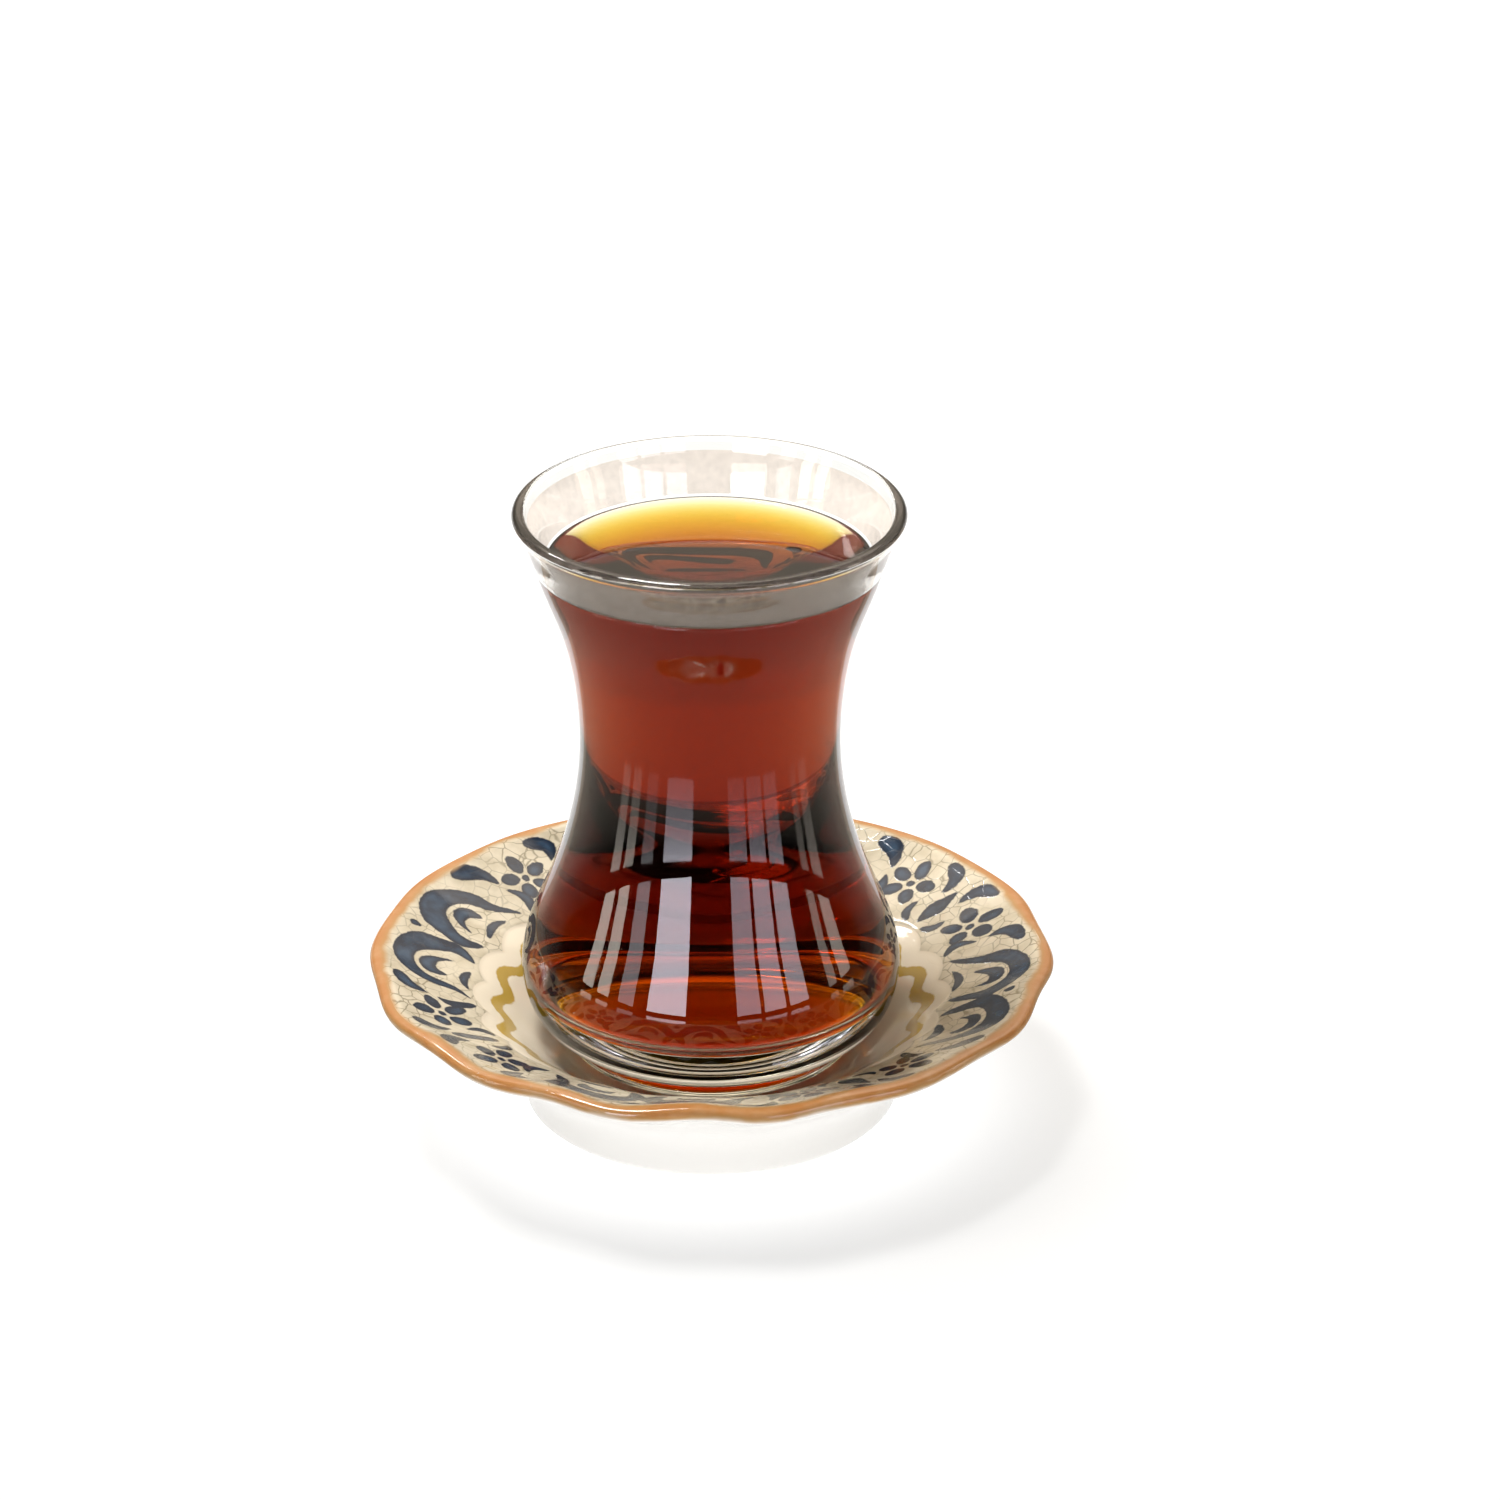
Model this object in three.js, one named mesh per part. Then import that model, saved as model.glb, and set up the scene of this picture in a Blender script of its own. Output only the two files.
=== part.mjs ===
// A tulip-shaped tea glass filled with black tea, standing on its lobed stoneware saucer.
// Units are millimetres and +Z is up. The foot ring of the saucer stands on z = 0,
// the axis of the glass and the saucer is x = y = 0, and -Y is the front.

import * as THREE from 'three';
import { mergeVertices } from 'three/addons/utils/BufferGeometryUtils.js';

// Driving dimensions of the glass
const GLASS_BASE = 10.1;
const GLASS_HEIGHT = 92.5;
const RIM_RADIUS = 31.0;
const WAIST_RADIUS = 20.8;
const BELLY_RADIUS = 30.6;
const NECK_RADIUS = 20.1;
const FOOT_RADIUS = 23.4;
const LIP_THICKNESS = 2.2;
const WALL = 1.8;
const FLOOR_THICKNESS = 9.0;

// Driving dimensions of the tea
const TEA_LEVEL = 93.2;
const TEA_GAP = 0.3;

// Driving dimensions of the saucer
const SAUCER_RADIUS = 55.0;
const SAUCER_CREST = 25.0;
const WELL_RADIUS = 24.5;
const WELL_FLOOR = 9.8;
const SHOULDER_RADIUS = 37.5;
const SHOULDER_HEIGHT = 18.1;
const FOOT_RING_OUTER = 30.4;
const FOOT_RING_INNER = 27.2;
const RECESS_CEILING = 5.4;
const LOBES = 14;
const LOBE_DEPTH = 0.4;
const LOBE_DIP = 0.2;
const FIRST_LOBE = THREE.MathUtils.degToRad(-15.5);

// Facets round the axis
const GLASS_SIDES = 48;
const SAUCER_SIDES = 6 * LOBES;

// Points on a smooth curve through the given [radius, height] pairs, with one more point
// halfway along each of the spans whose bend is tight, which are those from firstTight to lastTight
function smooth(pairs, firstTight = 0, lastTight = pairs.length - 2) {
  const corners = pairs.map(([r, h]) => new THREE.Vector3(r, h, 0));
  const curve = new THREE.CatmullRomCurve3(corners, false, 'centripetal');
  const spans = pairs.length - 1;
  const points = [];
  for (let span = 0; span < spans; span += 1) {
    points.push(curve.getPoint(span / spans));
    if (span >= firstTight && span <= lastTight) points.push(curve.getPoint((span + 0.5) / spans));
  }
  points.push(curve.getPoint(1));
  return points.map((p) => new THREE.Vector2(p.x, p.y));
}

// The outside of the glass, from the axis under the foot up to the side of the lip
function outerWall() {
  const underside = [
    new THREE.Vector2(0, 0.9),
    new THREE.Vector2(15, 0.7),
    new THREE.Vector2(20.2, 0),
  ];
  const foot = smooth([
    [22.2, 0],
    [FOOT_RADIUS, 0.9],
    [22.4, 1.75],
    [NECK_RADIUS, 2.2],
    [22.5, 2.5],
    [25.6, 3.4],
  ]);
  const body = smooth([
    [25.6, 3.4],
    [27.6, 4.9],
    [29.3, 7.4],
    [BELLY_RADIUS, 14.2],
    [28.6, 22.3],
    [25.35, 30.2],
    [22.4, 39.9],
    [WAIST_RADIUS, 53.6],
    [21.7, 63.9],
    [24.1, 73.9],
    [27.9, 83.9],
    [30.3, 90.0],
  ]).slice(1);
  return [...underside, ...foot, ...body];
}

// The fire-polished lip, a half round from the outer to the inner side
function lip() {
  const radius = LIP_THICKNESS / 2;
  const centre = new THREE.Vector2(RIM_RADIUS - radius, GLASS_HEIGHT - radius);
  const steps = 6;
  const points = [];
  for (let i = 0; i <= steps; i += 1) {
    const turn = Math.PI * (i / steps) - 0.1;
    points.push(new THREE.Vector2(
      centre.x + radius * Math.cos(turn),
      centre.y + radius * Math.sin(turn),
    ));
  }
  return points;
}

// The inside of the glass, from under the lip down to the axis on its thick floor
function innerWall() {
  const wall = smooth([
    [28.55, 90.6],
    [29.0 - WALL, 86.9],
    [27.6 - WALL, 83.1],
    [24.1 - WALL, 73.9],
    [21.7 - WALL, 63.9],
    [WAIST_RADIUS - WALL, 53.9],
    [22.4 - WALL, 39.9],
    [25.35 - WALL, 30.2],
    [28.6 - WALL * 1.1, 22.3],
    [BELLY_RADIUS - WALL * 1.2, 15.4],
    [27.4, FLOOR_THICKNESS + 3.0],
    [24.4, FLOOR_THICKNESS + 0.9],
    [18.0, FLOOR_THICKNESS + 0.15],
  ], 7);
  const floor = [
    new THREE.Vector2(9, FLOOR_THICKNESS),
    new THREE.Vector2(0, FLOOR_THICKNESS),
  ];
  return [...wall, ...floor];
}

// The inner wall moved in by the gap that the tea keeps to the glass
function teaOutline() {
  const wall = innerWall().reverse();
  const level = TEA_LEVEL - GLASS_BASE;
  const moved = wall.map((point, i) => {
    const before = wall[Math.max(i - 1, 0)];
    const after = wall[Math.min(i + 1, wall.length - 1)];
    const along = after.clone().sub(before).normalize();
    const inward = new THREE.Vector2(-along.y, along.x);
    return point.clone().addScaledVector(inward, TEA_GAP);
  });
  moved[0].x = 0;
  const wet = moved.filter((point) => point.y < level - 1);
  const last = wet[wet.length - 1];
  const next = moved[wet.length];
  const share = (level - last.y) / (next.y - last.y);
  const edge = last.clone().lerp(next, share);
  return [...wet, edge, new THREE.Vector2(0, level)];
}

// The saucer's section: well, rising wall, shoulder, lip, outside, foot ring and recess
function saucerOutline() {
  const top = smooth([
    [WELL_RADIUS, WELL_FLOOR],
    [28.0, 11.3],
    [33.0, 15.1],
    [SHOULDER_RADIUS, SHOULDER_HEIGHT],
    [42.5, 20.3],
    [48.0, 22.7],
    [52.2, SAUCER_CREST - 0.2],
  ], 0, 3);
  const rim = smooth([
    [53.6, SAUCER_CREST],
    [SAUCER_RADIUS, SAUCER_CREST - 0.8],
    [54.6, SAUCER_CREST - 1.9],
    [53.0, SAUCER_CREST - 3.0],
  ]);
  const outside = [
    new THREE.Vector2(48.0, 19.2),
    new THREE.Vector2(42.0, 15.7),
    new THREE.Vector2(36.5, 12.0),
    new THREE.Vector2(32.8, 8.2),
    new THREE.Vector2(30.9, 4.6),
  ];
  const ring = [
    new THREE.Vector2(FOOT_RING_OUTER, 0.8),
    new THREE.Vector2(FOOT_RING_OUTER - 0.6, 0),
    new THREE.Vector2(FOOT_RING_INNER + 0.6, 0),
    new THREE.Vector2(FOOT_RING_INNER, 0.8),
    new THREE.Vector2(FOOT_RING_INNER - 0.5, RECESS_CEILING - 1.2),
    new THREE.Vector2(FOOT_RING_INNER - 2.0, RECESS_CEILING - 0.1),
  ];
  const middleTop = new THREE.Vector2(0, WELL_FLOOR);
  const middleBottom = new THREE.Vector2(0, RECESS_CEILING);
  return [middleTop, ...top, ...rim, ...outside, ...ring, middleBottom];
}

// A solid of revolution about +Z, closed at the seam and at the axis
function turned(outline, sides) {
  const geometry = new THREE.LatheGeometry(outline, sides);
  geometry.rotateX(Math.PI / 2);
  geometry.deleteAttribute('normal');
  geometry.deleteAttribute('uv');
  return dropEmptyFaces(mergeVertices(geometry, 1e-4));
}

// Takes out the faces that have shrunk to a line at the axis
function dropEmptyFaces(geometry) {
  const corners = geometry.getIndex().array;
  const kept = [];
  for (let i = 0; i < corners.length; i += 3) {
    const [a, b, c] = [corners[i], corners[i + 1], corners[i + 2]];
    if (a !== b && b !== c && c !== a) kept.push(a, b, c);
  }
  geometry.setIndex(kept);
  return geometry;
}

// Pushes the saucer's wall into soft lobes, which swell outward and dip towards the rim
function pressLobes(geometry) {
  const position = geometry.getAttribute('position');
  for (let i = 0; i < position.count; i += 1) {
    const x = position.getX(i);
    const y = position.getY(i);
    const radius = Math.hypot(x, y);
    const share = THREE.MathUtils.smoothstep(radius, FOOT_RING_OUTER + 0.6, SAUCER_RADIUS - 3);
    if (share > 0) {
      const around = Math.atan2(x, -y);
      const unevenness = 1 + 0.3 * Math.cos(3 * around + 1) + 0.15 * Math.cos(5 * around);
      const wave = unevenness * Math.cos(LOBES * (around - FIRST_LOBE));
      const grown = 1 + (share * LOBE_DEPTH * wave) / radius;
      position.setXYZ(i, x * grown, y * grown, position.getZ(i) - share * LOBE_DIP * wave);
    }
  }
  return geometry;
}

function piece(name, geometry, finish) {
  geometry.computeVertexNormals();
  const mesh = new THREE.Mesh(geometry, new THREE.MeshStandardMaterial(finish));
  mesh.name = name;
  return mesh;
}

const glassOutline = [...outerWall(), ...lip(), ...innerWall()];
const glass = piece('glass', turned(glassOutline, GLASS_SIDES), {
  color: 0xeef2ee,
  roughness: 0.03,
  metalness: 0,
  transparent: true,
  opacity: 0.35,
});
glass.position.z = GLASS_BASE;

const tea = piece('tea', turned(teaOutline(), GLASS_SIDES), {
  color: 0x7a2408,
  roughness: 0.05,
  metalness: 0,
});
tea.position.z = GLASS_BASE;

const saucerOutlineDownward = saucerOutline().reverse();
const saucer = piece('saucer', pressLobes(turned(saucerOutlineDownward, SAUCER_SIDES)), {
  color: 0xf1e9dc,
  roughness: 0.15,
  metalness: 0,
});

const teaGlassOnSaucer = new THREE.Group();
teaGlassOnSaucer.add(saucer, glass, tea);

export default teaGlassOnSaucer;
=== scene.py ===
# A tulip-shaped glass of black tea on its lobed stoneware saucer. The axis of the glass is
# x = y = 0 and -Y is the front. Lengths are metres in the room, and millimetres in the outlines
# and patterns of the saucer, the glass and the tea.

import math

import bpy
import numpy as np
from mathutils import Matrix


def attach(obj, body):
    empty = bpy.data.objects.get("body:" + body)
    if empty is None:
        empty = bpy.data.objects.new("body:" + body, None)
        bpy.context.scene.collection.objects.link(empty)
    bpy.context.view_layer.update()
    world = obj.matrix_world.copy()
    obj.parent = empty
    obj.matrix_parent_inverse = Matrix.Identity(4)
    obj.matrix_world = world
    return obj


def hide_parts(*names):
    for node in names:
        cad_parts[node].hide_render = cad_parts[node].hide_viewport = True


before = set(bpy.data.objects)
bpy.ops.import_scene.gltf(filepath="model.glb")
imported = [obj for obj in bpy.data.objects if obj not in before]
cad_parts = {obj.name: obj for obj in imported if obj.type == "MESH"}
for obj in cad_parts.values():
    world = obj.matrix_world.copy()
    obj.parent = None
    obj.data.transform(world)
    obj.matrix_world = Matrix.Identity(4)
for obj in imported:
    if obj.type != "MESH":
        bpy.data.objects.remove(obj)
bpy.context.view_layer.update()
scene = bpy.context.scene
MM = 0.001


# Camera. It looks down at the glass from the front, as the photograph does, with a long lens.
CAMERA_PLACE = (0.0, -0.8083, 0.4395)
CAMERA_PITCH = math.radians(25.11)
CAMERA_YAW = math.radians(0.45)
SENSOR_WIDTH_MM = 36.0
FOCAL_LENGTH_MM = 134.4

camera_data = bpy.data.cameras.new("camera")
camera_data.sensor_width = SENSOR_WIDTH_MM
camera_data.lens = FOCAL_LENGTH_MM
camera = bpy.data.objects.new("camera", camera_data)
camera.location = CAMERA_PLACE
camera.rotation_euler = (math.pi / 2 - CAMERA_PITCH, 0.0, -CAMERA_YAW)
scene.collection.objects.link(camera)
scene.camera = camera


# Table. A white sheet with a glow of its own, so that it stays white out to the edge of the view
# and shadows on it are faint. The glow is strongest right under the saucer, a painted light that
# washes out the saucer's shadow there, and a band of it behind the saucer glows more than the
# rest, a painted light that lights the tea from behind.
TABLE_HALF_WIDTH = 4.0
TABLE_GREY = "#959594"
TABLE_ROUGHNESS = 0.9
GLOW = 0.69
PAINTED_LIGHT_UNDER_SAUCER = 0.93
PAINTED_GLOW_BEHIND_SAUCER = 0.27
PAINTED_GLOW_SHARE_FAR = 0.3


def linear(hex_colour):
    """An sRGB hex colour as linear red, green, blue and an alpha of 1."""
    levels = [int(hex_colour[i:i + 2], 16) / 255 for i in (1, 3, 5)]
    return [v / 12.92 if v <= 0.04045 else ((v + 0.055) / 1.055) ** 2.4 for v in levels] + [1.0]


def add_node(tree, kind, inputs=None, **settings):
    """Adds a node, sets its settings, and sets or links its inputs."""
    node = tree.nodes.new(kind)
    for name, value in settings.items():
        setattr(node, name, value)
    for socket, value in (inputs or {}).items():
        if isinstance(value, bpy.types.NodeSocket):
            tree.links.new(value, node.inputs[socket])
        else:
            node.inputs[socket].default_value = value
    return node


def new_material(name):
    """An empty material with its output node."""
    material = bpy.data.materials.new(name)
    material.use_nodes = True
    material.node_tree.nodes.clear()
    return material, material.node_tree, add_node(material.node_tree, "ShaderNodeOutputMaterial")


def new_piece(name, points, faces):
    """A smooth-shaded mesh object whose place is in its mesh."""
    mesh = bpy.data.meshes.new(name)
    mesh.from_pydata(points, [], faces)
    mesh.shade_smooth()
    piece = bpy.data.objects.new(name, mesh)
    scene.collection.objects.link(piece)
    return piece


# The table: matt white with no gloss of its own, under a painted glow that is strongest under the
# saucer and in a band behind it.
painted_glow_table, tree, output = new_material("white table with painted glow")
place = add_node(tree, "ShaderNodeTexCoord").outputs["Object"]
far = add_node(tree, "ShaderNodeVectorMath", {0: place}, operation="LENGTH").outputs["Value"]
behind = add_node(tree, "ShaderNodeSeparateXYZ", {0: place}).outputs[1]
glows = []
# Each row: the distance, where the change starts and ends, and what it changes from and to. The
# last is the share of the painted band's glow that is left far behind.
for measure, start, end, before, after in (
    (far, 0.034, 0.058, PAINTED_LIGHT_UNDER_SAUCER, GLOW),
    (behind, 0.045, 0.08, 0.0, PAINTED_GLOW_BEHIND_SAUCER),
    (behind, 0.225, 0.265, 1.0, PAINTED_GLOW_SHARE_FAR),
):
    glows.append(add_node(tree, "ShaderNodeMapRange", {
        "Value": measure, "From Min": start, "From Max": end, "To Min": before, "To Max": after,
    }, interpolation_type="SMOOTHSTEP").outputs[0])
painted_glow_under, painted_glow_band, painted_band_share_far = glows
# Painted light: the glow under the saucer washes out its shadow, and the band behind lights the tea
glow = add_node(tree, "ShaderNodeMath", {0: painted_glow_band, 1: painted_band_share_far, 2: painted_glow_under}, operation="MULTIPLY_ADD")
sheet = add_node(tree, "ShaderNodeBsdfPrincipled", {
    "Base Color": linear(TABLE_GREY),
    "Roughness": TABLE_ROUGHNESS,
    "Specular IOR Level": 0.0,
    "Emission Color": linear("#ffffff"),
    "Emission Strength": glow.outputs[0],
})
tree.links.new(sheet.outputs[0], output.inputs["Surface"])
corners = [(TABLE_HALF_WIDTH * x, TABLE_HALF_WIDTH * y, 0.0) for x, y in ((-1, -1), (1, -1), (1, 1), (-1, 1))]
table = new_piece("table", corners, [(0, 1, 2, 3)])
table.data.materials.append(painted_glow_table)


# Light. A lamp overhead on the left and a smaller one behind it, tall windows on the viewer's side,
# and a low white board in front, which lights the outside of the saucer.
LAMP_PLACE = (-0.25, 0.16, 1.05)
LAMP_WIDTH = 0.28
LAMP_RADIANCE = 40.0
BACK_LAMP_PLACE = (-0.55, 0.61, 0.87)
BACK_LAMP_WIDTH = 0.12
BACK_LAMP_RADIANCE = 30.0
WINDOW_DISTANCE = 1.3
SILL = WINDOW_DISTANCE * math.tan(math.radians(2))
LINTEL = WINDOW_DISTANCE * math.tan(math.radians(26))
# Each pane's azimuth and width in degrees seen from the glass, its radiance and its colour
PANES = [
    (-78, 8, 6.5, "#f6efe2"), (-66.5, 8, 6.5, "#f6efe2"), (-51, 10, 3.5, "#e4e6ea"),
    (-26, 23, 11.0, "#ebe8f4"), (22, 14, 4.5, "#ebe4f0"), (38, 13, 5.5, "#ebe4f0"),
    (53, 12, 5.5, "#e9e6f0"), (77, 6, 3.0, "#e9dfd2"), (88, 9, 4.0, "#e9dfd2"),
]
BOARD_PLACE = (0.0, -1.3, 0.12)
BOARD_AIM = (0, 0, 0.02)
BOARD_WIDTH = 1.6
BOARD_HEIGHT = 0.25
BOARD_RADIANCE = 5.0


def soft_light(name, place, aim, size, radiance, colour="#ffffff"):
    """A rectangular light of even brightness that the camera doesn't see."""
    width, height = size
    data = bpy.data.lights.new(name, "AREA")
    data.shape = "RECTANGLE"
    data.size = width
    data.size_y = height
    data.energy = radiance * math.pi * width * height
    data.color = linear(colour)[:3]
    light = bpy.data.objects.new(name, data)
    light.location = place
    towards = np.array(aim, float) - np.array(place, float)
    flat = math.hypot(towards[0], towards[1])
    light.rotation_euler = (math.atan2(flat, -towards[2]), 0.0, math.atan2(-towards[0], towards[1]))
    light.visible_camera = False
    scene.collection.objects.link(light)
    return light


soft_light("lamp", LAMP_PLACE, (0, 0, 0), (LAMP_WIDTH, LAMP_WIDTH), LAMP_RADIANCE)
soft_light("back lamp", BACK_LAMP_PLACE, (0, 0, 0), (BACK_LAMP_WIDTH, BACK_LAMP_WIDTH), BACK_LAMP_RADIANCE)
window_middle = (SILL + LINTEL) / 2
for number, (azimuth, width_degrees, radiance, colour) in enumerate(PANES):
    turn = math.radians(azimuth)
    place = (WINDOW_DISTANCE * math.sin(turn), -WINDOW_DISTANCE * math.cos(turn), window_middle)
    size = (2 * WINDOW_DISTANCE * math.tan(math.radians(width_degrees / 2)), LINTEL - SILL)
    pane = soft_light(f"pane {number}", place, (0, 0, window_middle), size, radiance, colour)
    pane.visible_diffuse = False
board = soft_light("low board", BOARD_PLACE, BOARD_AIM, (BOARD_WIDTH, BOARD_HEIGHT), BOARD_RADIANCE)
board.visible_glossy = False
board.visible_transmission = False


# Dark card. It lies on the table round the front and the sides of the saucer, and is seen in
# reflections alone. It stands in for the dark side of the room in front of the glass.
CARD_REACH = math.radians(141)
CARD_STEPS = 64
CARD_INNER = 0.058
CARD_OUTER = 5.5
CARD_HEIGHT = 0.001
CARD_BROWN = "#120b08"
PAINTED_CARD_GLOW_COLOUR = "#f6e6d2"
CARD_ROUGHNESS = 0.06
PAINTED_GLOW_NEAR_SAUCER = 0.45
PAINTED_GLOW_TOWARDS_BACK = 0.85

# Dark card: nearly black, with a painted glow on the part near the saucer and towards the back,
# which stands in for the lit table and the room's pale light in reflections, and a mirror's gloss
# that fades out towards the back.
painted_reflection_card, tree, output = new_material("dark card with painted reflection")
place = add_node(tree, "ShaderNodeTexCoord").outputs["Object"]
far = add_node(tree, "ShaderNodeVectorMath", {0: place}, operation="LENGTH").outputs["Value"]
behind = add_node(tree, "ShaderNodeSeparateXYZ", {0: place}).outputs[1]
turned_back = add_node(tree, "ShaderNodeMath", {0: behind, 1: far}, operation="DIVIDE").outputs[0]
painted_glow_near = add_node(tree, "ShaderNodeMapRange", {
    "Value": far, "From Min": 0.12, "From Max": 0.38, "To Min": PAINTED_GLOW_NEAR_SAUCER, "To Max": 0.0,
}, interpolation_type="SMOOTHSTEP").outputs[0]
painted_glow_back = add_node(tree, "ShaderNodeMapRange", {
    "Value": turned_back, "From Min": 0.58, "From Max": 0.77, "To Max": PAINTED_GLOW_TOWARDS_BACK,
}, interpolation_type="SMOOTHSTEP").outputs[0]
# Painted light: the card's glow, which the glass shows as a reflection of the lit table and room
painted_card_glow = add_node(tree, "ShaderNodeMath", {0: painted_glow_near, 1: painted_glow_back}, operation="MAXIMUM")
mirrored = add_node(tree, "ShaderNodeMapRange", {
    "Value": turned_back, "From Min": 0.0, "From Max": 0.25, "To Min": 1.0, "To Max": 0.0,
}).outputs[0]
card_front = add_node(tree, "ShaderNodeBsdfPrincipled", {
    "Base Color": linear(CARD_BROWN),
    "Roughness": CARD_ROUGHNESS,
    "Specular Tint": mirrored,
    "Emission Color": linear(PAINTED_CARD_GLOW_COLOUR),
    "Emission Strength": painted_card_glow.outputs[0],
})
tree.links.new(card_front.outputs[0], output.inputs["Surface"])
turns = np.linspace(-CARD_REACH, CARD_REACH, CARD_STEPS + 1)
points = [(r * math.sin(t), -r * math.cos(t), CARD_HEIGHT) for r in (CARD_INNER, CARD_OUTER) for t in turns]
outer = CARD_STEPS + 1
card = new_piece("dark_card", points, [(i, outer + i, outer + i + 1, i + 1) for i in range(CARD_STEPS)])
card.data.materials.append(painted_reflection_card)
card.visible_camera = False
card.visible_diffuse = False
card.visible_transmission = False
card.visible_shadow = False


# Room. A warm white wall stands behind the glass, brighter towards its top, under a dim ceiling,
# and light falls in high up behind. Each part is the product of two ramps over the direction.
ROOM_WHITE = "#f9e9d4"
# Each ramp's axis, where it starts and ends, and its brightness before and after
BACK_WALL = [(1, 0.25, 0.75, 0.03, 1.0), (2, 0.2, 0.42, 0.35, 1.1)]
CEILING = [(2, 0.70, 0.85, 0.0, 0.3), (1, -0.35, 0.2, 0.35, 1.0)]
HIGH_WINDOW = [(1, 0.3, 0.5, 0.0, 2.5), (2, 0.5, 0.62, 0.0, 1.0)]

world = bpy.data.worlds.new("room")
scene.world = world
world.use_nodes = True
tree = world.node_tree
direction = add_node(tree, "ShaderNodeTexCoord").outputs["Generated"]
axes = add_node(tree, "ShaderNodeSeparateXYZ", {0: direction}).outputs
brightest = 0.0
for ramps in (BACK_WALL, CEILING, HIGH_WINDOW):
    part = 1.0
    for axis, start, end, before, after in ramps:
        ramp = add_node(tree, "ShaderNodeMapRange", {
            "Value": axes[axis], "From Min": start, "From Max": end, "To Min": before, "To Max": after,
        }, interpolation_type="SMOOTHSTEP").outputs[0]
        part = add_node(tree, "ShaderNodeMath", {0: part, 1: ramp}, operation="MULTIPLY").outputs[0]
    brightest = add_node(tree, "ShaderNodeMath", {0: brightest, 1: part}, operation="MAXIMUM").outputs[0]
tree.links.new(brightest, tree.nodes["Background"].inputs["Strength"])
tree.nodes["Background"].inputs["Color"].default_value = linear(ROOM_WHITE)
scene.view_settings.view_transform = "Standard"
scene.cycles.use_denoising = True


# Saucer. Wheel-thrown stoneware, pressed into soft lobes. Under its thick clear glaze lie a cream
# ground, crackled round the wall, brushed scrolls in cobalt, a gold-ochre line and an iron-red lip.
WELL_RADIUS = 24.5
WELL_FLOOR = 9.8
CREST = (53.6, 25.0)
SAUCER_RADIUS = 55.0
FOOT_RING_OUTER = 30.4
FOOT_RING_INNER = 27.2
RECESS_CEILING = 5.4
LOBES = 14
LOBES_FROM = 31.0
LOBES_FULL_FROM = 52.0
LOBE_DEPTH = 0.4
LOBE_DIP = 0.2
FIRST_LOBE = math.radians(-15.5)
SAUCER_SIDES = 840
FINE_ROWS_FROM = 36.0
FINE_ROW = 0.34
SCALLOPS = 21
SCALLOP_TURN = math.radians(-86)
SCALLOP_RADIUS = 36.9
SCALLOP_DEPTH = 1.9
SCALLOP_ROUNDING = 0.8
SCALLOP_SLANT = 1.25
SCALLOP_STEP = 0.18
STEP_SOFTNESS = 0.35
STEP_FADES_FROM = 46.0
STEP_FADES_TO = 52.0
GOLD_RADIUS = 34.2
GOLD_SWING = 0.95
GOLD_HALF_WIDTH = 0.95
ORNAMENT_RADIUS = 45.0
ORNAMENT_FOOT = 38.4
ORNAMENT_TURN = math.radians(-104)
ORNAMENT_REPEATS = 8
BRUSH_STEP = 0.5
BRUSH_TIP = 0.1
BRUSH_FULLNESS = 0.8
PETAL_WIDTH = 1.45
PETAL_LEAN = 0.8
INK_REACH = 3.0
NO_PAINT = 9.0


def smooth_curve(knots, spacing):
    """Points about one spacing apart on the natural cubic spline through the knots."""
    knots = np.array(knots, float)
    chords = np.hypot(*np.diff(knots, axis=0).T)
    at = np.concatenate([[0], np.cumsum(chords)])
    count = len(knots)
    system = np.zeros((count, count))
    right = np.zeros((count, 2))
    system[0, 0] = system[-1, -1] = 1
    for i in range(1, count - 1):
        system[i, i - 1:i + 2] = chords[i - 1], 2 * (chords[i - 1] + chords[i]), chords[i]
        ahead = (knots[i + 1] - knots[i]) / chords[i]
        behind = (knots[i] - knots[i - 1]) / chords[i - 1]
        right[i] = 6 * (ahead - behind)
    bend = np.linalg.solve(system, right)
    steps = max(2, round(at[-1] / spacing))
    points = []
    for t in np.linspace(0, at[-1], steps + 1):
        i = min(np.searchsorted(at, t, side="right") - 1, count - 2)
        h = chords[i]
        a, b = (at[i + 1] - t) / h, (t - at[i]) / h
        curve = (a ** 3 - a) * bend[i] + (b ** 3 - b) * bend[i + 1]
        points.append(tuple(a * knots[i] + b * knots[i + 1] + curve * h * h / 6))
    return points


def turned_piece(name, outline, sides):
    """The closed solid that an outline of (radius, height) in mm sweeps round the Z axis."""
    outline = np.array(outline, float)
    turn = np.arange(sides) * 2 * math.pi / sides
    inner = outline[1:-1]
    rings = np.stack([
        inner[:, :1] * np.sin(turn),
        -inner[:, :1] * np.cos(turn),
        np.repeat(inner[:, 1:], sides, axis=1),
    ], axis=2)
    poles = [[0, 0, outline[0, 1]]], [[0, 0, outline[-1, 1]]]
    points = np.concatenate([poles[0], rings.reshape(-1, 3), poles[1]]) * MM
    last = len(points) - 1
    faces = []
    for side in range(sides):
        after = (side + 1) % sides
        faces.append((0, 1 + after, 1 + side))
        for row in range(len(inner) - 1):
            a, b = 1 + row * sides, 1 + (row + 1) * sides
            faces.append((a + side, a + after, b + after, b + side))
        row = 1 + (len(inner) - 1) * sides
        faces.append((row + side, row + after, last))
    return new_piece(name, points.tolist(), faces)


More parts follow.
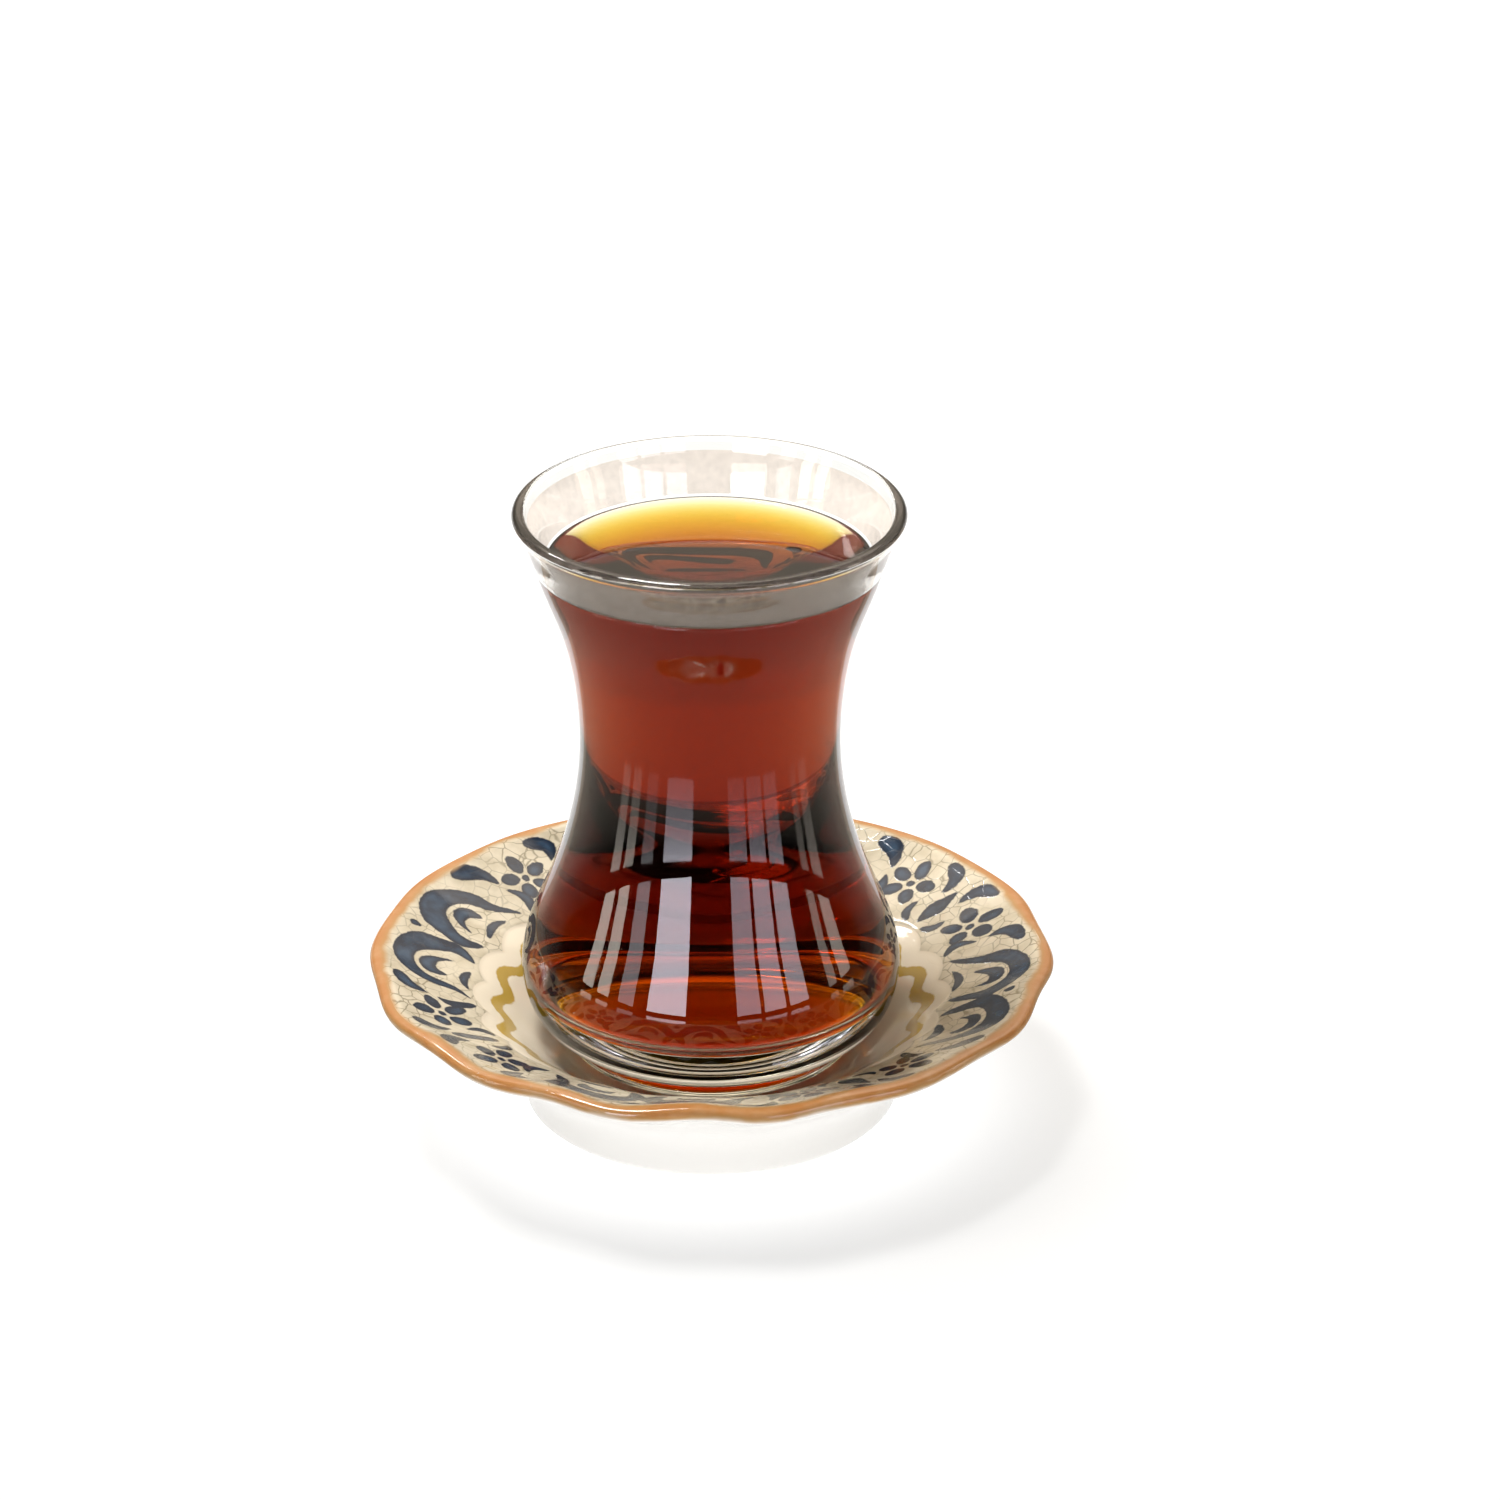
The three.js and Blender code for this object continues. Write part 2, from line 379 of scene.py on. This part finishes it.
well = [(0, WELL_FLOOR), (8, WELL_FLOOR), (16, WELL_FLOOR), (22, WELL_FLOOR)]
wall = smooth_curve([
    (WELL_RADIUS, WELL_FLOOR), (28, 11.3), (33, 15.1), (37.5, 18.1), (42.5, 20.3), (48, 22.7), (52.2, 24.8),
], FINE_ROW)
wall = [p for i, p in enumerate(wall) if p[0] > FINE_ROWS_FROM or i % 3 == 0]
lip_inside = smooth_curve([(52.2, 24.8), (52.9, 24.97), CREST], 0.4)
lip_outside = smooth_curve([CREST, (54.7, 24.7), (SAUCER_RADIUS, 24.1), (54.6, 23.1), (53, 22.0)], 0.45)
outside = smooth_curve([
    (53, 22.0), (48, 19.2), (42, 15.7), (36.5, 12.0), (32.8, 8.2), (30.9, 4.6), (FOOT_RING_OUTER, 1.0),
], 2.2)
ring = [
    (FOOT_RING_OUTER - 0.1, 0.4), (FOOT_RING_OUTER - 0.4, 0.1), (FOOT_RING_OUTER - 0.8, 0.0),
    (FOOT_RING_INNER + 0.8, 0.0), (FOOT_RING_INNER + 0.3, 0.2), (FOOT_RING_INNER, 0.8),
]
recess = smooth_curve([
    (FOOT_RING_INNER, 0.8), (26.7, 4.2), (25.2, RECESS_CEILING - 0.1), (22, RECESS_CEILING),
], 1.5)
inner_half = well + wall + lip_inside[1:]
outer_half = lip_outside[1:] + outside[1:] + ring + recess[1:] + [(0, RECESS_CEILING)]
section = (inner_half + outer_half)[::-1]
saucer = turned_piece("saucer_glazed", section, SAUCER_SIDES)


def per_row(values):
    """A value for each row of the section as one for each point of the saucer."""
    return np.concatenate([values[:1], np.repeat(values[1:-1], SAUCER_SIDES), values[-1:]])


def brush_stroke(knots, belly, lean):
    """Points along a stroke with the brush's half width at each. It swells to belly on the way, and
    sooner for a small lean."""
    spine = np.array(smooth_curve(knots, BRUSH_STEP))
    along = np.linspace(0, 1, len(spine))
    swell = np.sin(math.pi * along ** lean) ** BRUSH_FULLNESS
    return spine, BRUSH_TIP + (belly - BRUSH_TIP) * swell


def dot(x, y, radius):
    """A dab of the brush."""
    return np.array([(x, y), (x + 0.15, y + 0.1)], float), np.array([radius, radius * 0.8])


def distance_to_strokes(places, strokes, far):
    """How far each place lies outside the edge of the nearest stroke. Inside it is below zero."""
    nearest = np.full(len(places), far)
    for spine, half_widths in strokes:
        for start, end, first, second in zip(spine, spine[1:], half_widths, half_widths[1:]):
            run = end - start
            share = np.clip((places - start) @ run / (run @ run), 0, 1)
            gap = places - start - share[:, None] * run
            edge = np.hypot(gap[:, 0], gap[:, 1]) - (first + share * (second - first))
            nearest = np.minimum(nearest, edge)
    return nearest


# One eighth of the border, in mm along and up from the middle of its foot. The next eighth mirrors
# it. Scrolls and leaves come first, and then a rose of petals round a dot.
strokes = [
    brush_stroke([
        (-14.3, 0.8), (-16.2, 5.2), (-13.4, 10.0), (-8.6, 11.2), (-4.2, 8.6), (-2.6, 4.6), (0.4, 1.2),
    ], 2.0, 0.75),
    brush_stroke([(-12.2, 4.0), (-10.6, 7.0), (-7.8, 7.0), (-6.6, 4.4)], 1.25, 1.4),
    brush_stroke([(-10.8, 1.0), (-7.0, 2.0), (-3.4, 1.2)], 0.8, 0.8),
    brush_stroke([(-1.6, 12.8), (1.4, 11.6), (2.6, 8.2)], 1.5, 0.6),
    brush_stroke([(2.6, 0.8), (4.2, 3.4), (2.8, 6.6)], 1.1, 0.8),
    brush_stroke([(12.6, 12.9), (15.4, 11.6), (15.2, 8.4)], 1.3, 0.7),
    brush_stroke([(17.67, 1.4), (17.67, 5.6), (17.67, 9.8)], 1.7, 0.8),
    brush_stroke([(15.4, 0.6), (13.4, 1.9), (13.4, 4.6)], 0.85, 0.9),
    dot(-17.67, 11.6, 1.1),
]
ROSE = (8.4, 6.9)
PETALS = 5
PETAL_TURN = 0.3
PETAL_KNOTS = (1.9, 3.2, 4.9)
for petal in range(PETALS):
    turn = 2 * math.pi * petal / PETALS + PETAL_TURN
    petal_line = [(ROSE[0] + r * math.cos(turn), ROSE[1] + r * math.sin(turn)) for r in PETAL_KNOTS]
    strokes.append(brush_stroke(petal_line, PETAL_WIDTH, PETAL_LEAN))
strokes.append(dot(*ROSE, 0.8))

mesh_points = np.empty(len(saucer.data.vertices) * 3, np.float32)
saucer.data.vertices.foreach_get("co", mesh_points)
mesh_points = mesh_points.reshape(-1, 3).astype(float) / MM
radius = np.hypot(mesh_points[:, 0], mesh_points[:, 1])
azimuth = np.arctan2(mesh_points[:, 0], -mesh_points[:, 1])

outline_steps = np.hypot(*np.diff(np.array(section, float), axis=0).T)
run = np.concatenate([[0], np.cumsum(outline_steps)])
crest_row = len(section) - len(inner_half)
past_crest = per_row(run[crest_row] - run)
on_top = past_crest < 0

# The scalloped edge of the border and the gold line inside it, as uneven as a hand draws them
phase = (azimuth - SCALLOP_TURN) * SCALLOPS / 2
hand = 0.25 * np.sin(5 * azimuth + 1.0) + 0.2 * np.sin(11 * azimuth + 2.0)
scallop = SCALLOP_RADIUS + SCALLOP_DEPTH * np.abs(np.cos(phase)) ** SCALLOP_ROUNDING + hand / 2
border = np.where(on_top, (radius - scallop) / SCALLOP_SLANT, -NO_PAINT)
wave = GOLD_RADIUS + GOLD_SWING * np.cos(2 * phase) + hand
slope = GOLD_SWING * SCALLOPS * np.sin(2 * phase) / GOLD_RADIUS
half_width = GOLD_HALF_WIDTH * (1 + 0.3 * hand)
gold = np.where(on_top, np.abs(radius - wave) / np.hypot(1, slope) - half_width, NO_PAINT)

# The ornament, whose strokes drift a little, so that no two of its eighths are quite alike
eighth = 2 * math.pi / ORNAMENT_REPEATS
turned = (azimuth - ORNAMENT_TURN) / eighth
number = np.floor(turned)
along = (turned - number - 0.5) * eighth * ORNAMENT_RADIUS
along = np.where(number % 2 == 0, along, -along)
drift = 0.35 * np.sin(7.3 * np.sin(azimuth) + 0.4 * radius) + 0.2 * np.sin(3 * azimuth + 0.9 * radius)
lift = 0.3 * np.sin(5.1 * np.cos(azimuth) + 0.5 * radius)
ink = np.full(len(radius), INK_REACH)
brushed = on_top & (radius > FINE_ROWS_FROM)
unrolled = np.stack([along + drift, radius - ORNAMENT_FOOT + lift], axis=1)[brushed]
ink[brushed] = distance_to_strokes(unrolled, strokes, INK_REACH)

for name, values in (("past_crest", past_crest), ("border", border), ("gold", gold), ("ink", ink)):
    attribute = saucer.data.attributes.new(name, "FLOAT", "POINT")
    attribute.data.foreach_set("value", values.astype(np.float32))

# The glaze lies a step higher outside the scallops, and the step fades out towards the rim
step = np.clip((border + STEP_SOFTNESS) / (2 * STEP_SOFTNESS), 0, 1)
fade = np.clip((STEP_FADES_TO - radius) / (STEP_FADES_TO - STEP_FADES_FROM), 0, 1)
mesh_points[:, 2] += SCALLOP_STEP * step * step * (3 - 2 * step) * fade
saucer.data.vertices.foreach_set("co", (mesh_points * MM).astype(np.float32).ravel())
saucer.data.update()


def press_lobes(piece, material):
    """Presses the wall into lobes with a node tree that follows one rule, and leaves a plain mesh."""
    tree = bpy.data.node_groups.new("press lobes", "GeometryNodeTree")
    sizes = {
        "Lobes": LOBES,
        "First Lobe": FIRST_LOBE,
        "Depth": LOBE_DEPTH * MM,
        "Dip": LOBE_DIP * MM,
        "Start Radius": LOBES_FROM * MM,
        "Full Radius": LOBES_FULL_FROM * MM,
    }
    tree.interface.new_socket("Geometry", in_out="INPUT", socket_type="NodeSocketGeometry")
    sockets = {n: tree.interface.new_socket(n, in_out="INPUT", socket_type="NodeSocketFloat") for n in sizes}
    tree.interface.new_socket("Geometry", in_out="OUTPUT", socket_type="NodeSocketGeometry")
    given = add_node(tree, "NodeGroupInput").outputs

    place = add_node(tree, "GeometryNodeInputPosition").outputs[0]
    axes = add_node(tree, "ShaderNodeSeparateXYZ", {0: place}).outputs
    flat = add_node(tree, "ShaderNodeCombineXYZ", {0: axes[0], 1: axes[1]}).outputs[0]
    radius = add_node(tree, "ShaderNodeVectorMath", {0: flat}, operation="LENGTH").outputs["Value"]
    share = add_node(tree, "ShaderNodeMapRange", {
        "Value": radius, "From Min": given["Start Radius"], "From Max": given["Full Radius"],
    }, interpolation_type="SMOOTHSTEP").outputs[0]
    front = add_node(tree, "ShaderNodeMath", {0: axes[1], 1: -1.0}, operation="MULTIPLY").outputs[0]
    around = add_node(tree, "ShaderNodeMath", {0: axes[0], 1: front}, operation="ARCTAN2").outputs[0]

    # The lobes' wave, and two slow ones that make some lobes deeper than others
    turned = add_node(tree, "ShaderNodeMath", {0: around, 1: given["First Lobe"]}, operation="SUBTRACT")
    phase = add_node(tree, "ShaderNodeMath", {0: turned.outputs[0], 1: given["Lobes"]}, operation="MULTIPLY")
    wave = add_node(tree, "ShaderNodeMath", {0: phase.outputs[0]}, operation="COSINE").outputs[0]
    uneven = 1.0
    for times, shift, amount in ((5.0, 0.0, 0.15), (3.0, 1.0, 0.3)):
        slow = add_node(tree, "ShaderNodeMath", {0: around, 1: times, 2: shift}, operation="MULTIPLY_ADD")
        slow = add_node(tree, "ShaderNodeMath", {0: slow.outputs[0]}, operation="COSINE")
        uneven = add_node(tree, "ShaderNodeMath", {0: slow.outputs[0], 1: amount, 2: uneven},
                          operation="MULTIPLY_ADD").outputs[0]
    for factor in (uneven, share):
        wave = add_node(tree, "ShaderNodeMath", {0: wave, 1: factor}, operation="MULTIPLY").outputs[0]

    swell = add_node(tree, "ShaderNodeMath", {0: wave, 1: given["Depth"]}, operation="MULTIPLY").outputs[0]
    dip = add_node(tree, "ShaderNodeMath", {0: wave, 1: given["Dip"]}, operation="MULTIPLY").outputs[0]
    drop = add_node(tree, "ShaderNodeMath", {0: dip, 1: -1.0}, operation="MULTIPLY").outputs[0]
    outward = add_node(tree, "ShaderNodeVectorMath", {0: flat}, operation="NORMALIZE").outputs[0]
    sideways = add_node(tree, "ShaderNodeVectorMath", {0: outward, "Scale": swell}, operation="SCALE")
    lift = add_node(tree, "ShaderNodeCombineXYZ", {2: drop})
    offset = add_node(tree, "ShaderNodeVectorMath", {
        0: sideways.outputs[0], 1: lift.outputs[0],
    }, operation="ADD")
    moved = add_node(tree, "GeometryNodeSetPosition", {
        "Geometry": given["Geometry"], "Offset": offset.outputs[0],
    })
    real = add_node(tree, "GeometryNodeRealizeInstances", {0: moved.outputs[0]})
    finished = add_node(tree, "GeometryNodeSetMaterial", {"Geometry": real.outputs[0], "Material": material})
    add_node(tree, "NodeGroupOutput", {0: finished.outputs[0]})

    modifier = piece.modifiers.new("press lobes", "NODES")
    modifier.node_group = tree
    for name, value in sizes.items():
        modifier[sockets[name].identifier] = float(value)
    evaluated = piece.evaluated_get(bpy.context.evaluated_depsgraph_get())
    mesh = bpy.data.meshes.new_from_object(evaluated)
    piece.modifiers.clear()
    piece.data = mesh
    mesh.name = piece.name


# Glazed stoneware: the clear glaze gives sharp, wet-looking gloss over soft colours that ran a
# little in the fire. Cobalt pools dark at the edge of a stroke and is thin and grey in its middle.
CREAM = "#f3e7d0"
CRACKLED = "#e0d5bd"
STAIN = "#c4b89c"
CRACK = "#857a60"
COBALT = "#122338"
COBALT_THIN = "#375069"
GOLD_OCHRE = "#bd9a35"
IRON_RED = "#c1844c"
IRON_PALE = "#cb9a69"
IRON_EDGE = "#b98f58"
WHITE_GLAZE = "#f5f3ef"
CRACK_CELL = 2.4
# Half widths of a crack's dark core and of its soft sides, as shares of a cell
CRACK_CORE = 0.01
CRACK_SIDES = 0.06
# The iron-red lip begins this far inside the crest, and ends this far past it
LIP_FROM = -0.6
LIP_TO = 2.9
GLAZE_ROUGHNESS = 0.08
GLAZE_IOR = 1.5
RELIEF = 0.03
# How far cracks sink and clouds swell, next to the thickness of a brushed line
CRACK_RELIEF = -0.4
CLOUD_RELIEF = 3.0
# Grains to the metre, which makes them 1.1, 3.8, 11 and 3.3 mm wide
FINE_GRAINS = 900.0
MOTTLE_GRAINS = 260.0
CLOUD_GRAINS = 90.0
WARP_GRAINS = 300.0
WARP = 1.2

glaze, tree, output = new_material("glazed stoneware")
place = add_node(tree, "ShaderNodeTexCoord").outputs["Object"]
past_crest = add_node(tree, "ShaderNodeAttribute", attribute_name="past_crest").outputs["Fac"]
border = add_node(tree, "ShaderNodeAttribute", attribute_name="border").outputs["Fac"]
gold = add_node(tree, "ShaderNodeAttribute", attribute_name="gold").outputs["Fac"]
ink = add_node(tree, "ShaderNodeAttribute", attribute_name="ink").outputs["Fac"]
fine, mottle, cloud = [
    add_node(tree, "ShaderNodeTexNoise", {"Vector": place, "Scale": grains, "Detail": detail}).outputs[0]
    for grains, detail in ((FINE_GRAINS, 3.0), (MOTTLE_GRAINS, 4.0), (CLOUD_GRAINS, 3.0))
]
feather = add_node(tree, "ShaderNodeMath", {0: fine, 1: 0.5}, operation="SUBTRACT").outputs[0]
soft = add_node(tree, "ShaderNodeMath", {0: cloud, 1: 0.5}, operation="SUBTRACT").outputs[0]

# Hair cracks between cells that a slow noise bends, shown more in some clouds than in others
warp = add_node(tree, "ShaderNodeTexNoise", {"Vector": place, "Scale": WARP_GRAINS, "Detail": 2.0})
warp = warp.outputs["Color"]
bent = add_node(tree, "ShaderNodeVectorMath", {0: warp, "Scale": WARP * MM}, operation="SCALE")
bent = add_node(tree, "ShaderNodeVectorMath", {0: place, 1: bent.outputs[0]}, operation="ADD")
cells = add_node(tree, "ShaderNodeTexVoronoi", {
    "Vector": bent.outputs[0], "Scale": 1 / (CRACK_CELL * MM),
}, feature="DISTANCE_TO_EDGE")
crack = add_node(tree, "ShaderNodeMapRange", {
    "Value": cells.outputs["Distance"], "From Min": CRACK_CORE, "From Max": CRACK_SIDES,
    "To Min": 1.0, "To Max": 0.0,
}).outputs[0]
shown = add_node(tree, "ShaderNodeMapRange", {
    "Value": cloud, "From Min": 0.38, "From Max": 0.62, "To Min": 0.15, "To Max": 0.8,
}).outputs[0]
crack = add_node(tree, "ShaderNodeMath", {0: crack, 1: shown}, operation="MULTIPLY").outputs[0]

# What covers what. Each row: the distance, where the cover is whole and where it has ended, the
# noise that makes its edge uneven, and how much, all in mm
from_lip = add_node(tree, "ShaderNodeMath", {0: LIP_FROM, 1: past_crest}, operation="SUBTRACT").outputs[0]
covers = []
for distance, whole, ended, noise, amount in (
    (border, -0.08, 0.12, feather, 0.1),
    (gold, -0.12, 0.2, feather, 0.5),
    (ink, -0.14, 0.14, feather, 0.45),
    (from_lip, -0.2, 1.1, soft, 4.0),
    (from_lip, -0.9, 0.5, soft, 3.0),
    (past_crest, LIP_TO - 1.0, LIP_TO + 0.9, soft, 3.0),
    (past_crest, LIP_TO - 1.6, LIP_TO - 0.4, soft, 3.0),
):
    uneven = add_node(tree, "ShaderNodeMath", {0: noise, 1: amount, 2: distance}, operation="MULTIPLY_ADD")
    covers.append(add_node(tree, "ShaderNodeMapRange", {
        "Value": uneven.outputs[0], "From Min": whole, "From Max": ended, "To Min": 1.0, "To Max": 0.0,
    }, interpolation_type="SMOOTHSTEP").outputs[0])
inside_scallops, gold_line, inked, iron_edge, iron, outer_edge, outer_iron = covers
is_outer = add_node(tree, "ShaderNodeMath", {0: past_crest, 1: 0.0}, operation="GREATER_THAN").outputs[0]
stained = add_node(tree, "ShaderNodeMapRange", {
    "Value": mottle, "From Min": 0.42, "From Max": 0.68, "To Max": 0.75,
}).outputs[0]
thin = add_node(tree, "ShaderNodeMapRange", {
    "Value": ink, "From Min": -0.25, "From Max": -1.0, "To Max": 0.9,
}).outputs[0]
streak = add_node(tree, "ShaderNodeMapRange", {
    "Value": mottle, "From Min": 0.35, "From Max": 0.65,
}).outputs[0]
thin = add_node(tree, "ShaderNodeMath", {0: thin, 1: streak}, operation="MULTIPLY").outputs[0]

# Each coat: its name, what it lies on, where it covers that, and its own colour
coats = {
    "ground": linear(CRACKLED), "cobalt": linear(COBALT), "iron": linear(IRON_RED),
    "iron edge": linear(IRON_EDGE), "white": linear(WHITE_GLAZE),
}
for coat, under, cover, over in (
    ("cobalt", "cobalt", thin, linear(COBALT_THIN)),
    ("iron", "iron", stained, linear(IRON_PALE)),
    ("rim", "iron edge", iron, "iron"),
    ("outer rim", "iron edge", outer_iron, "rim"),
    ("ground", "ground", stained, linear(STAIN)),
    ("ground", "ground", crack, linear(CRACK)),
    ("ground", "ground", inside_scallops, linear(CREAM)),
    ("ground", "ground", gold_line, linear(GOLD_OCHRE)),
    ("ground", "ground", inked, "cobalt"),
    ("top", "ground", iron_edge, "rim"),
    ("below", "white", outer_edge, "outer rim"),
    ("all", "top", is_outer, "below"),
):
    colour = coats[over] if isinstance(over, str) else over
    mix = add_node(tree, "ShaderNodeMix", {0: cover, 6: coats[under], 7: colour}, data_type="RGBA")
    coats[coat] = mix.outputs[2]

relief = inked
for pattern, amount in ((crack, CRACK_RELIEF), (cloud, CLOUD_RELIEF)):
    relief = add_node(tree, "ShaderNodeMath", {0: pattern, 1: amount, 2: relief}, operation="MULTIPLY_ADD")
    relief = relief.outputs[0]
bump = add_node(tree, "ShaderNodeBump", {"Height": relief, "Strength": 1.0, "Distance": RELIEF * MM})
stoneware = add_node(tree, "ShaderNodeBsdfPrincipled", {
    "Base Color": coats["all"],
    "Roughness": GLAZE_ROUGHNESS,
    "IOR": GLAZE_IOR,
    "Normal": bump.outputs[0],
})
tree.links.new(stoneware.outputs[0], output.inputs["Surface"])
press_lobes(saucer, glaze)
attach(saucer, "root")
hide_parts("saucer")


# Glass. Pressed soda-lime glass with a thick foot and a fire-polished lip: clear, smooth,
# bending the light strongly where its wall turns.
GLASS_BASE = 10.1
GLASS_HEIGHT = 92.5
LIP_RADIUS = 1.1
LIP_TURN = -0.1
LIP_STEPS = 16
RIM_RADIUS = 31.0
FLOOR_THICKNESS = 9.0
WALL = 1.8
WALL_EVEN_FROM = 21.0
WALL_EVEN_TO = 86.0
GLASS_SIDES = 256
TEA_LEVEL = 93.2
MENISCUS = 0.7
GLASS_IOR = 1.52
GLASS_TINT = "#f8faf8"


def moved_out(points, reach):
    """The points of an outline moved sideways, to its right for a positive reach."""
    points = np.array(points, float)
    along = np.gradient(points, axis=0)
    along /= np.hypot(*along.T)[:, None]
    return points + reach * np.stack([along[:, 1], -along[:, 0]], axis=1)


hollow = smooth_curve([(15, 0.7), (18.5, 0.35), (20.2, 0.0)], 0.8)
underside = [(0, 0.9), (8, 0.85)] + hollow + [(21.4, 0.0)]
foot = smooth_curve([
    (22.2, 0), (23.15, 0.3), (23.4, 0.9), (22.9, 1.55), (21.2, 2.0), (20.1, 2.3), (21.0, 2.5), (23.2, 2.65),
    (25.6, 3.4),
], 0.25)
body = smooth_curve([
    (25.6, 3.4), (27.6, 5.0), (29.3, 7.4), (30.62, 14.0), (29.3, 20.5), (25.95, 28.5), (22.82, 38),
    (20.93, 50), (21.38, 62), (23.5, 72), (26.82, 81), (29.45, 88.5), (30.6, 90.9),
], 0.7)
lip_centre = (RIM_RADIUS - LIP_RADIUS, GLASS_HEIGHT - LIP_RADIUS)
lip_turns = np.linspace(LIP_TURN, math.pi + LIP_TURN, LIP_STEPS + 1)
lip = [
    (lip_centre[0] + LIP_RADIUS * math.cos(t), lip_centre[1] + LIP_RADIUS * math.sin(t)) for t in lip_turns
]
even_wall = [(r, h) for r, h in moved_out(body[::-1], WALL) if WALL_EVEN_FROM < h < WALL_EVEN_TO]
inside = smooth_curve(
    [(28.55, 90.6)] + even_wall[::4]
    + [(28.4, 15.6), (27.6, 12.3), (24.7, 10.0), (18.5, 9.2), (9.0, FLOOR_THICKNESS)],
    0.7,
)
dry_outline = underside + foot + body[1:] + lip[1:]
glass_outline = [(r, h + GLASS_BASE) for r, h in dry_outline + inside + [(0, FLOOR_THICKNESS)]]
glass = turned_piece("glass_clear", glass_outline, GLASS_SIDES)

# Pressed soda-lime glass: a hard, colourless gloss
clear_glass, tree, output = new_material("pressed clear glass")
pane = add_node(tree, "ShaderNodeBsdfPrincipled", {
    "Base Color": linear(GLASS_TINT),
    "Roughness": 0.0,
    "IOR": GLASS_IOR,
    "Transmission Weight": 1.0,
})
tree.links.new(pane.outputs[0], output.inputs["Surface"])

# The same glass where tea wets it: its own gloss is gone, as tea and glass bend light nearly alike
wetted_glass, tree, output = new_material("clear glass wetted by tea")
wet_pane = add_node(tree, "ShaderNodeBsdfPrincipled", {
    "Base Color": linear("#ffffff"),
    "Roughness": 0.0,
    "IOR": GLASS_IOR,
    "Transmission Weight": 1.0,
    "Specular Tint": linear("#000000"),
})
tree.links.new(wet_pane.outputs[0], output.inputs["Surface"])

# The same glass above the tea, where steam leaves a breath of mist: a milky grey in fine beads
MIST_WHITE = "#f1dfd0"
MIST_THIN = 0.88
MIST_THICK = 0.79
MIST_ROUGHNESS = 0.02
BEADS_PER_METRE = 700.0
misted_glass, tree, output = new_material("clear glass with a breath of mist")
place = add_node(tree, "ShaderNodeTexCoord").outputs["Object"]
beads = add_node(tree, "ShaderNodeTexNoise", {"Vector": place, "Scale": BEADS_PER_METRE, "Detail": 2.0})
clearness = add_node(tree, "ShaderNodeMapRange", {
    "Value": beads.outputs[0], "From Min": 0.35, "From Max": 0.7, "To Min": MIST_THIN, "To Max": MIST_THICK,
}).outputs[0]
misted_pane = add_node(tree, "ShaderNodeBsdfPrincipled", {
    "Base Color": linear(MIST_WHITE),
    "Roughness": MIST_ROUGHNESS,
    "IOR": GLASS_IOR,
    "Transmission Weight": clearness,
})
tree.links.new(misted_pane.outputs[0], output.inputs["Surface"])

for material in (clear_glass, wetted_glass, misted_glass):
    glass.data.materials.append(material)
first_inside = (len(dry_outline) - 1) * GLASS_SIDES + 1
for face in glass.data.polygons:
    if min(face.vertices) >= first_inside:
        face.material_index = 1 if face.center.z < (TEA_LEVEL + MENISCUS) * MM else 2
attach(glass, "root")
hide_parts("glass")


# Tea. Strained black tea, clear and deep red-brown: yellow where it is thin at the brim,
# orange further in and almost black through the belly. It reaches just into the wall.
TEA_REACH = 0.1
TEA_DENSITY = 500.0
ABSORBED_PER_METRE = (43.0, 116.0, 500.0)
TEA_COLOUR = [1 - share / TEA_DENSITY for share in ABSORBED_PER_METRE] + [1.0]
TEA_IOR = 1.333
MENISCUS_SPAN = 1.2
MENISCUS_STEPS = (0.15, 0.4, 0.7, 1.1, 1.6, 2.2, 3.0, 4.2, 6.0)

level = TEA_LEVEL - GLASS_BASE
wet = [(r, h) for r, h in moved_out(inside[::-1], TEA_REACH) if h < level + MENISCUS]
brim = wet[-1][0]
surface = [(brim - out, level + MENISCUS * math.exp(-out / MENISCUS_SPAN)) for out in MENISCUS_STEPS]
tea_outline = [(0, wet[0][1])] + wet + surface + [(15, level), (0, level)]
tea_outline = [(r, h + GLASS_BASE) for r, h in tea_outline]
tea = turned_piece("tea_brewed", tea_outline, GLASS_SIDES)

# Black tea: clear like water, with a still, glossy top that curls up where it meets the wall.
# Only its top has a gloss, because its side lies in the wall.
black_tea, tree, output = new_material("black tea")
place = add_node(tree, "ShaderNodeTexCoord").outputs["Object"]
height = add_node(tree, "ShaderNodeSeparateXYZ", {0: place}).outputs[2]
side_ends = (TEA_LEVEL - 0.05) * MM
top_gloss = add_node(tree, "ShaderNodeMath", {0: height, 1: side_ends}, operation="GREATER_THAN")
liquid = add_node(tree, "ShaderNodeBsdfPrincipled", {
    "Base Color": linear("#ffffff"),
    "Roughness": 0.0,
    "IOR": TEA_IOR,
    "Transmission Weight": 1.0,
    "Specular Tint": top_gloss.outputs[0],
})
tint = add_node(tree, "ShaderNodeVolumeAbsorption", {"Color": TEA_COLOUR, "Density": TEA_DENSITY})
tree.links.new(liquid.outputs[0], output.inputs["Surface"])
tree.links.new(tint.outputs[0], output.inputs["Volume"])
tea.data.materials.append(black_tea)
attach(tea, "root")
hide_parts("tea")
